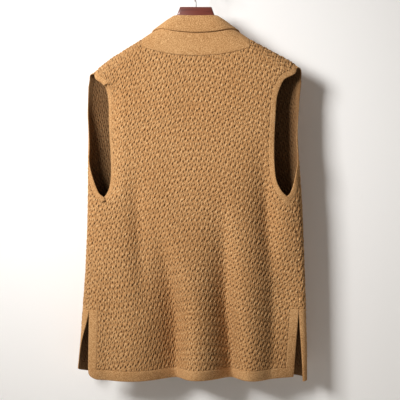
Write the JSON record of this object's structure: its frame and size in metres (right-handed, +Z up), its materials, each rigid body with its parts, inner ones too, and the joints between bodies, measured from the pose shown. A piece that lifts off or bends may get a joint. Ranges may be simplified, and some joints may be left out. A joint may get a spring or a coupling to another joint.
{
  "type": "knitted sweater vest on a hanger",
  "caption": "Sleeveless camel knit vest with a turned-down shawl collar, open front and side slits, hanging on a dark wooden hanger with a steel hook.",
  "frame": {"origin": "the underside of the hook's top, where it rests on a clothes rail", "axes": "+Z up; +Y from the back of the vest towards its open front; -X towards the wearer's left"},
  "size_m": [0.4684, 0.1153, 0.8221],
  "materials": {
    "textured_knit": "matt openwork knit",
    "plain_knit": "matt fine plain knit",
    "hanger_wood": "varnished mahogany",
    "hook_steel": "smooth plated wire"
  },
  "bodies": {
    "root": {"back_panel": "textured_knit", "front_panel_left": "textured_knit", "front_panel_right": "textured_knit", "back_hem_band": "plain_knit", "front_hem_band_left": "plain_knit", "front_hem_band_right": "plain_knit", "back_slit_band_left": "plain_knit", "back_slit_band_right": "plain_knit", "front_slit_band_left": "plain_knit", "front_slit_band_right": "plain_knit", "front_band_left": "plain_knit", "front_band_right": "plain_knit", "armhole_band_left": "plain_knit", "armhole_band_right": "plain_knit", "collar": "plain_knit", "hanger_body": "hanger_wood", "hanger_hook": "hook_steel"}
  },
  "joints": []
}
